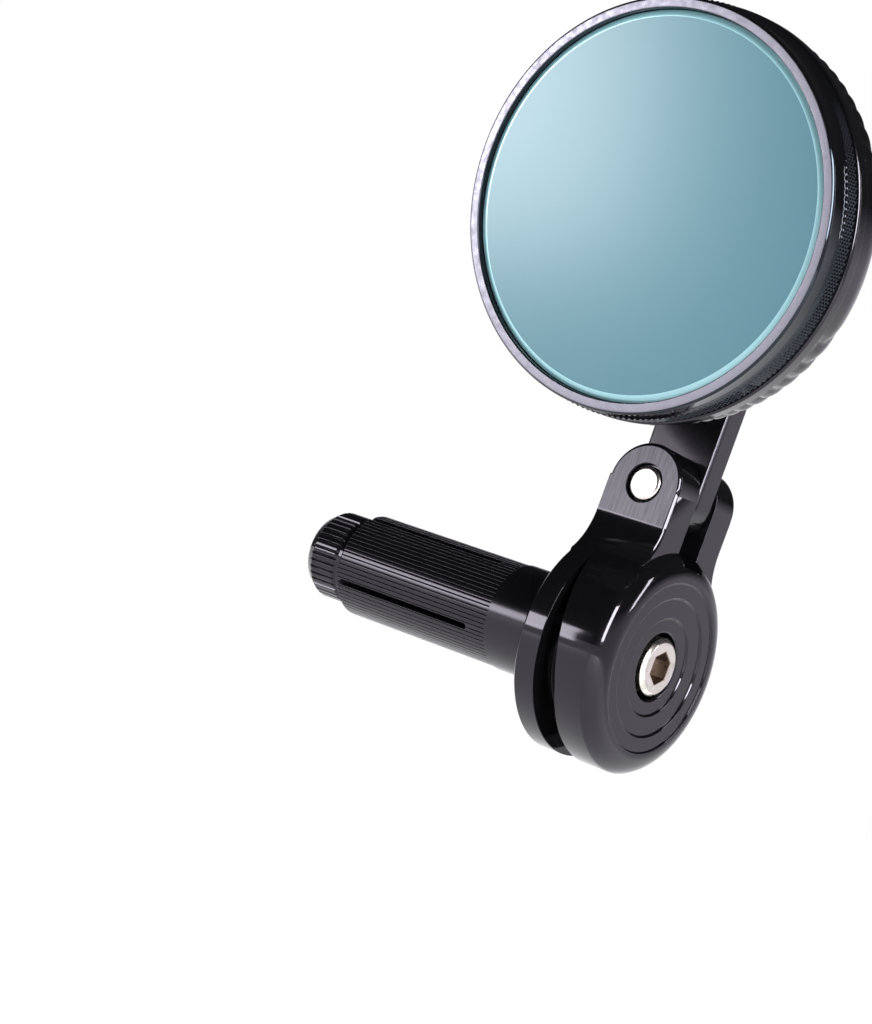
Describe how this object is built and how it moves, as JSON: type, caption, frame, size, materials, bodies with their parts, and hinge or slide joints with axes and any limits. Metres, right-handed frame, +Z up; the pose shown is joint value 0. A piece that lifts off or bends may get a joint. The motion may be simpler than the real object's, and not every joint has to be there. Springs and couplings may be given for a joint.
{
  "type": "bar-end mirror",
  "caption": "Round mirror on a folding arm with a ball joint, fixed by an expanding plug in the end of a handlebar.",
  "frame": {"origin": "on the plug's axis, in the plane of the arm base's inner face, where the handlebar's end butts", "axes": "+X out of the handlebar along the plug's axis, +Z up the arm from the plug to the mirror, glass facing -Y and turned 10 degrees down"},
  "size_m": [0.0975, 0.0635, 0.1204],
  "materials": {
    "black_anodised": "gloss black anodised",
    "steel": "turned stainless",
    "bronze": "turned",
    "acetal": "matt",
    "blue_mirror": "blue anti-glare coated",
    "foam": "closed-cell foam",
    "rubber": "matt"
  },
  "bodies": {
    "plug": {"expander_sleeve": "black_anodised"},
    "wedge": {"wedge_nut": "black_anodised"},
    "bolt": {"clamp_bolt": "steel", "bolt_lock_washer": "steel"},
    "base": {"arm_base": "black_anodised", "bolt_flat_washer": "steel", "pivot_pin": "steel", "pivot_washer_front": "acetal", "pivot_washer_back": "acetal"},
    "arm": {"mirror_arm": "black_anodised", "pivot_bush": "bronze", "ball_stud": "steel"},
    "front_seat": {"ball_seat_front": "acetal"},
    "rear_seat": {"ball_seat_rear": "acetal"},
    "head": {"rear_housing": "black_anodised", "bezel_ring": "black_anodised", "mirror_glass": "blue_mirror", "glass_pad": "foam", "glass_carrier": "black_anodised", "housing_gasket": "rubber", "pressure_cup": "acetal", "disc_spring": "steel", "retainer_plate": "steel", "retainer_screws": "steel"}
  },
  "joints": [
    {"name": "bolt_turn", "type": "hinge", "parent": "plug", "child": "bolt", "pos_m": [0, 0, 0], "axis": [1, 0, 0], "range_deg": [0, 1080]},
    {"name": "wedge_slide", "type": "slide", "parent": "plug", "child": "wedge", "axis": [1, 0, 0], "range_m": [-0.0031, 0]},
    {"name": "base_swivel", "type": "hinge", "parent": "plug", "child": "base", "pos_m": [0, 0, 0], "axis": [1, 0, 0], "continuous": true},
    {"name": "arm_fold", "type": "hinge", "parent": "base", "child": "arm", "pos_m": [0.0069, 0, 0.0277], "axis": [0, 1, 0], "range_deg": [-90, 90]},
    {"name": "head_tilt", "type": "hinge", "parent": "arm", "child": "front_seat", "pos_m": [0.0069, -0.02, 0.0697], "axis": [1, 0, 0], "range_deg": [-26, 6]},
    {"name": "head_yaw", "type": "hinge", "parent": "front_seat", "child": "rear_seat", "pos_m": [0.0069, -0.02, 0.0697], "axis": [0, -0.1736, 0.9848], "range_deg": [-16.5, 13.5]},
    {"name": "head_spin", "type": "hinge", "parent": "rear_seat", "child": "head", "pos_m": [0.0069, -0.02, 0.0697], "axis": [0.0262, -0.9845, -0.1736], "continuous": true}
  ],
  "couplings": [
    {"joint": "wedge_slide", "follows": "bolt_turn", "m_per_rad": -0.00015915}
  ]
}
